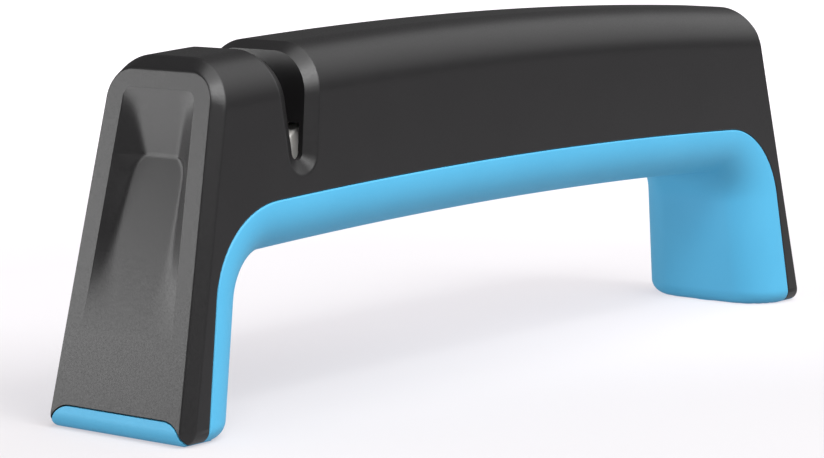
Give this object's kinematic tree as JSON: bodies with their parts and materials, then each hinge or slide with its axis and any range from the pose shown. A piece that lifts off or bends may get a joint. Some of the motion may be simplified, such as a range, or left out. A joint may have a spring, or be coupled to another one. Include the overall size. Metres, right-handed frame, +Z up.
{
  "type": "axe sharpener",
  "caption": "Hand-held axe sharpener: arched two-part plastic handle on two feet, with a tapered blade slot near one end and interleaved ceramic wheels that hone both sides.",
  "frame": {"origin": "centre of the footprint on the plane that the two feet stand on", "axes": "+X along the handle away from the blade slot, +Y across the handle, +Z up"},
  "size_m": [0.1988, 0.0336, 0.0665],
  "materials": {
    "black_housing": "satin moulded glass-filled polyamide, near black",
    "blue_liner": "matte moulded sky-blue polymer",
    "grey_cradle": "matte moulded grey acetal",
    "steel_pin": "ground steel pin",
    "white_ceramic": "unglazed fine-grained alumina",
    "white_sleeve": "turned white acetal",
    "steel_screw": "zinc-plated steel"
  },
  "bodies": {
    "root": {"upper_housing": "black_housing", "inner_liner": "blue_liner", "wheel_cradle": "grey_cradle", "left_axle": "steel_pin", "right_axle": "steel_pin", "left_sleeve_1": "white_sleeve", "left_sleeve_2": "white_sleeve", "left_sleeve_3": "white_sleeve", "right_sleeve_1": "white_sleeve", "right_sleeve_2": "white_sleeve", "right_sleeve_3": "white_sleeve", "cradle_screw_1": "steel_screw", "cradle_screw_2": "steel_screw", "cradle_screw_3": "steel_screw", "cradle_screw_4": "steel_screw", "left_foot_screw": "steel_screw", "right_foot_screw": "steel_screw"},
    "left_wheel_1": {"left_wheel_1": "white_ceramic"},
    "left_wheel_2": {"left_wheel_2": "white_ceramic"},
    "left_wheel_3": {"left_wheel_3": "white_ceramic"},
    "right_wheel_1": {"right_wheel_1": "white_ceramic"},
    "right_wheel_2": {"right_wheel_2": "white_ceramic"},
    "right_wheel_3": {"right_wheel_3": "white_ceramic"}
  },
  "joints": [
    {"name": "left_wheel_1_spin", "type": "hinge", "parent": "root", "child": "left_wheel_1", "pos_m": [-0.07342, 0, 0.04339], "axis": [0, 1, 0], "continuous": true},
    {"name": "left_wheel_2_spin", "type": "hinge", "parent": "root", "child": "left_wheel_2", "pos_m": [-0.07342, 0, 0.04339], "axis": [0, 1, 0], "continuous": true},
    {"name": "left_wheel_3_spin", "type": "hinge", "parent": "root", "child": "left_wheel_3", "pos_m": [-0.07342, 0, 0.04339], "axis": [0, 1, 0], "continuous": true},
    {"name": "right_wheel_1_spin", "type": "hinge", "parent": "root", "child": "right_wheel_1", "pos_m": [-0.05878, 0, 0.04339], "axis": [0, 1, 0], "continuous": true},
    {"name": "right_wheel_2_spin", "type": "hinge", "parent": "root", "child": "right_wheel_2", "pos_m": [-0.05878, 0, 0.04339], "axis": [0, 1, 0], "continuous": true},
    {"name": "right_wheel_3_spin", "type": "hinge", "parent": "root", "child": "right_wheel_3", "pos_m": [-0.05878, 0, 0.04339], "axis": [0, 1, 0], "continuous": true}
  ]
}
